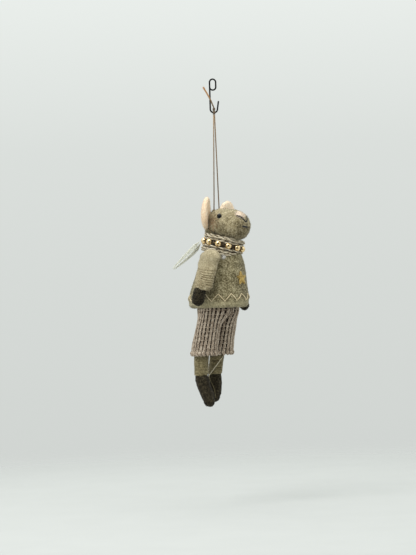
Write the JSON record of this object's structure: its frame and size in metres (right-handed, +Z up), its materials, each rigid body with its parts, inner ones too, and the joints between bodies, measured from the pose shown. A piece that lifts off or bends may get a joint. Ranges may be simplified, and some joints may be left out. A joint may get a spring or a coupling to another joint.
{
  "type": "hanging felt mouse ornament",
  "caption": "Needle-felted wool mouse in a sweater and rib-knit shorts, with a beaded collar, hung by a thread loop from a small black wire hook.",
  "frame": {"origin": "inside top of the closed eye of the wire hook, where it bears on whatever it hangs from", "axes": "+Z up along the hanging thread; the mouse faces -Y; its right side is -X"},
  "size_m": [0.0614, 0.0563, 0.2296],
  "materials": {
    "hook_wire": "black lacquered wire",
    "core_wire": "bare soft wire",
    "thread": "waxed grey-brown thread",
    "wool_felt": "needle-felted mottled olive-tan wool",
    "sweater_felt": "soft mottled olive-grey felt",
    "peach_felt": "soft peach-cream felt",
    "black_bead": "glossy black",
    "black_thread": "black embroidery thread",
    "mustard_felt": "mustard wool felt",
    "gold_thread": "pale gold embroidery thread",
    "brown_yarn": "dark brown yarn",
    "cream_yarn": "pinkish-cream twisted yarn",
    "gold_bead": "polished gold-coloured metal",
    "satin": "white satin tape",
    "sleeve_yarn": "tan wool, yarn-wrapped below the elbow",
    "dark_felt": "charcoal-brown wool",
    "shorts_knit": "chunky rib knit, pinkish taupe",
    "leg_yarn": "olive-tan wrapped yarn"
  },
  "bodies": {
    "hook": {"hook": "hook_wire"},
    "hanger": {"thread_turn": "thread", "thread_knot": "thread", "thread_tails": "thread"},
    "loop": {"thread_loop": "thread"},
    "mouse": {"head": "wool_felt", "right_ear": "peach_felt", "left_ear": "peach_felt", "right_eye": "black_bead", "left_eye": "black_bead", "nose_pad": "peach_felt", "nose_stitch": "black_thread", "mouth_stitch": "black_thread", "body_core": "wool_felt", "sweater": "sweater_felt", "star": "mustard_felt", "hem_zigzag": "gold_thread", "collar_core": "brown_yarn", "collar_top_roll": "cream_yarn", "collar_bottom_roll": "cream_yarn", "bead_string": "brown_yarn", "bead_01": "gold_bead", "bead_02": "gold_bead", "bead_03": "gold_bead", "bead_04": "gold_bead", "bead_05": "gold_bead", "bead_06": "gold_bead", "bead_07": "gold_bead", "bead_08": "gold_bead", "bead_09": "gold_bead", "bead_10": "gold_bead", "bead_11": "gold_bead", "bead_12": "gold_bead", "shorts_waist": "shorts_knit"},
    "label": {"label": "satin", "label_stitch": "gold_thread"},
    "right_arm": {"right_arm_wire": "core_wire", "right_sleeve": "sleeve_yarn", "right_hand": "dark_felt"},
    "left_arm": {"left_arm_wire": "core_wire", "left_sleeve": "sleeve_yarn", "left_hand": "dark_felt"},
    "right_leg": {"right_shorts_leg": "shorts_knit", "right_leg_wire": "core_wire", "right_leg_wrap": "leg_yarn", "right_boot": "dark_felt"},
    "left_leg": {"left_shorts_leg": "shorts_knit", "left_leg_wire": "core_wire", "left_leg_wrap": "leg_yarn", "left_boot": "dark_felt"}
  },
  "joints": [
    {"name": "hook_swing", "type": "hinge", "parent": "hook", "child": "hanger", "pos_m": [0.00022, -0.00027, -0.0229], "axis": [0.6428, -0.766, 0], "range_deg": [-8, 20]},
    {"name": "thread_twist", "type": "hinge", "parent": "hanger", "child": "loop", "pos_m": [0.00022, -0.00027, -0.0243], "axis": [0, 0, 1], "range_deg": [-180, 180]},
    {"name": "mouse_nod", "type": "hinge", "parent": "loop", "child": "mouse", "pos_m": [0, 0, -0.096], "axis": [1, 0, 0], "range_deg": [-15, 15]},
    {"name": "right_shoulder", "type": "hinge", "parent": "mouse", "child": "right_arm", "pos_m": [-0.019, -0.0065, -0.1286], "axis": [1, 0, 0], "range_deg": [-80, 35]},
    {"name": "left_shoulder", "type": "hinge", "parent": "mouse", "child": "left_arm", "pos_m": [0.0206, 0.0035, -0.1342], "axis": [1, 0, 0], "range_deg": [-80, 35]},
    {"name": "right_hip", "type": "hinge", "parent": "mouse", "child": "right_leg", "pos_m": [-0.00865, 0.003, -0.171], "axis": [1, 0, 0], "range_deg": [-45, 30]},
    {"name": "left_hip", "type": "hinge", "parent": "mouse", "child": "left_leg", "pos_m": [0.00865, 0.003, -0.171], "axis": [1, 0, 0], "range_deg": [-45, 30]},
    {"name": "label_flap", "type": "hinge", "parent": "mouse", "child": "label", "pos_m": [-0.00753, 0.01052, -0.1136], "axis": [-0.766, -0.6428, 0], "range_deg": [-30, 30]}
  ]
}
